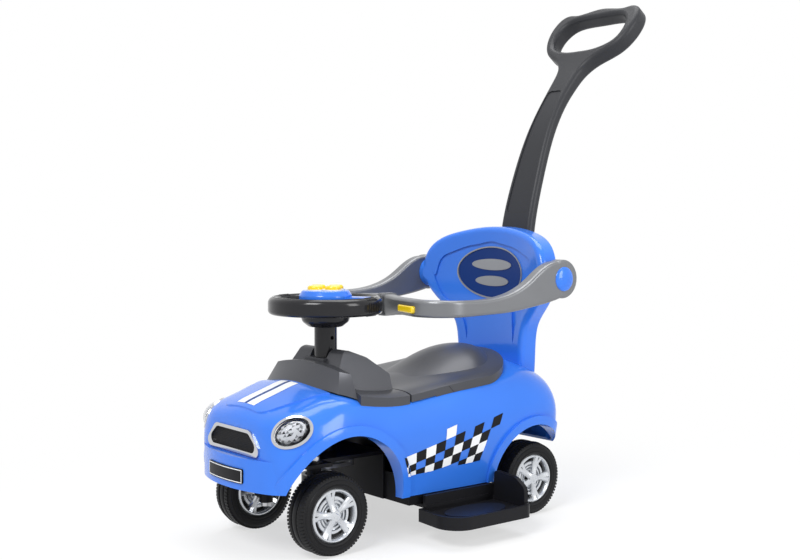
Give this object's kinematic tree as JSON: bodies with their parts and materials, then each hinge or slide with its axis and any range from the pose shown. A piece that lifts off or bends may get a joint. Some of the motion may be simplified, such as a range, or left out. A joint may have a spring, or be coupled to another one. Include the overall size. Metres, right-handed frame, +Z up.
{
  "type": "push car with handle",
  "caption": "Child's ride-on push car with steered front wheels, lifting seat lid over a storage bin, hinged safety guard, backrest and a tall parent push handle.",
  "frame": {"origin": "on the ground under the middle of the overall length and width", "axes": "+Z up, -Y toward the front of the car, +X toward the left side as seated"},
  "size_m": [0.436, 0.848, 0.8965],
  "materials": {
    "body_blue": "glossy",
    "seat_grey": "satin",
    "black_plastic": "satin",
    "handle_grey": "satin",
    "arm_silver": "satin",
    "chrome_trim": "polished",
    "clear_lens": "clear",
    "tyre_black": "matte",
    "rim_silver": "metallised",
    "steel": "satin",
    "button_yellow": "glossy",
    "surround_white": "glossy",
    "badge_navy": "satin",
    "trim_silver": "satin"
  },
  "bodies": {
    "car": {"body_shell": "body_blue", "grille_frame": "chrome_trim", "grille_mesh": "black_plastic", "number_plate": "black_plastic", "dash_cowl": "seat_grey", "windscreen": "seat_grey", "seat_hinge_pins": "steel", "storage_bin": "black_plastic", "chassis": "black_plastic", "footrest_screws": "steel", "rear_axle": "steel", "rear_axle_spacers": "black_plastic", "rear_axle_nuts": "steel", "kingpins": "steel", "kingpin_nuts": "steel", "backrest": "body_blue", "back_cover": "body_blue", "badge_plate": "badge_navy", "badge_trim": "trim_silver", "badge_vents": "trim_silver", "guard_pivot_pins": "steel", "push_handle": "handle_grey", "handle_socket": "body_blue", "handle_bolts": "steel", "lamp_bezels": "chrome_trim", "lamp_reflectors": "chrome_trim", "lamp_lenses": "clear_lens", "foot_pads": "badge_navy", "left_footrest": "black_plastic", "right_footrest": "black_plastic"},
    "steering": {"steering_column": "black_plastic", "steering_crank": "steel", "steering_wheel": "black_plastic", "wheel_panel": "body_blue", "button_surround": "surround_white", "sound_unit": "black_plastic"},
    "tie_rod": {"tie_rod": "steel"},
    "left_guard": {"left_guard_arm": "arm_silver", "left_pivot_cap": "body_blue", "guard_collar": "arm_silver"},
    "right_guard": {"right_guard_arm": "arm_silver", "right_pivot_cap": "body_blue"},
    "guard_latch": {"guard_latch": "button_yellow"},
    "seat_lid": {"seat_lid": "seat_grey"},
    "button_left": {"music_button_left": "button_yellow"},
    "button_right": {"music_button_right": "button_yellow"},
    "button_front": {"music_button_front": "button_yellow"},
    "button_rear": {"music_button_rear": "button_yellow"},
    "left_steer": {"left_knuckle": "black_plastic", "left_stub_axle": "steel"},
    "front_left_wheel": {"front_left_tyre": "tyre_black", "front_left_hub_caps": "rim_silver"},
    "rear_left_wheel": {"rear_left_tyre": "tyre_black", "rear_left_hub_caps": "rim_silver"},
    "right_steer": {"right_knuckle": "black_plastic", "right_stub_axle": "steel"},
    "front_right_wheel": {"front_right_tyre": "tyre_black", "front_right_hub_caps": "rim_silver"},
    "rear_right_wheel": {"rear_right_tyre": "tyre_black", "rear_right_hub_caps": "rim_silver"}
  },
  "joints": [
    {"name": "steer", "type": "hinge", "parent": "car", "child": "steering", "pos_m": [0, -0.23555, 0.25], "axis": [0, 0, 1], "range_deg": [-25, 25]},
    {"name": "tie_rod_pivot", "type": "hinge", "parent": "left_steer", "child": "tie_rod", "pos_m": [0.068, -0.26055, 0.104], "axis": [0, 0, 1], "range_deg": [-25, 25]},
    {"name": "seat_lid_hinge", "type": "hinge", "parent": "car", "child": "seat_lid", "pos_m": [0, -0.16555, 0.239], "axis": [1, 0, 0], "range_deg": [0, 40]},
    {"name": "guard_latch_press", "type": "slide", "parent": "left_guard", "child": "guard_latch", "axis": [0.2477, 0.9688, 0], "range_m": [0, 0.003], "stiffness_N_per_m": 400, "springref_m": -0.001},
    {"name": "left_kingpin", "type": "hinge", "parent": "car", "child": "left_steer", "pos_m": [0.068, -0.30555, 0.062], "axis": [0, 0, 1], "range_deg": [-25, 25]},
    {"name": "left_guard_hinge", "type": "hinge", "parent": "car", "child": "left_guard", "pos_m": [0.161, 0.11445, 0.402], "axis": [-1, 0, 0], "range_deg": [0, 85]},
    {"name": "front_left_spin", "type": "hinge", "parent": "left_steer", "child": "front_left_wheel", "pos_m": [0.1045, -0.30555, 0.062], "axis": [1, 0, 0], "continuous": true},
    {"name": "rear_left_spin", "type": "hinge", "parent": "car", "child": "rear_left_wheel", "pos_m": [0.1045, 0.10445, 0.062], "axis": [1, 0, 0], "continuous": true},
    {"name": "right_kingpin", "type": "hinge", "parent": "car", "child": "right_steer", "pos_m": [-0.068, -0.30555, 0.062], "axis": [0, 0, 1], "range_deg": [-25, 25]},
    {"name": "right_guard_hinge", "type": "hinge", "parent": "car", "child": "right_guard", "pos_m": [-0.161, 0.11445, 0.402], "axis": [-1, 0, 0], "range_deg": [0, 85]},
    {"name": "front_right_spin", "type": "hinge", "parent": "right_steer", "child": "front_right_wheel", "pos_m": [-0.1045, -0.30555, 0.062], "axis": [1, 0, 0], "continuous": true},
    {"name": "rear_right_spin", "type": "hinge", "parent": "car", "child": "rear_right_wheel", "pos_m": [-0.1045, 0.10445, 0.062], "axis": [1, 0, 0], "continuous": true},
    {"name": "button_left_press", "type": "slide", "parent": "steering", "child": "button_left", "axis": [0, 0, -1], "range_m": [0, 0.002], "stiffness_N_per_m": 400, "springref_m": -0.001},
    {"name": "button_right_press", "type": "slide", "parent": "steering", "child": "button_right", "axis": [0, 0, -1], "range_m": [0, 0.002], "stiffness_N_per_m": 400, "springref_m": -0.001},
    {"name": "button_front_press", "type": "slide", "parent": "steering", "child": "button_front", "axis": [0, 0, -1], "range_m": [0, 0.002], "stiffness_N_per_m": 400, "springref_m": -0.001},
    {"name": "button_rear_press", "type": "slide", "parent": "steering", "child": "button_rear", "axis": [0, 0, -1], "range_m": [0, 0.002], "stiffness_N_per_m": 400, "springref_m": -0.001}
  ],
  "couplings": [
    {"joint": "tie_rod_pivot", "follows": "steer", "ratio": -1},
    {"joint": "left_kingpin", "follows": "steer", "ratio": 1},
    {"joint": "right_kingpin", "follows": "steer", "ratio": 1}
  ]
}
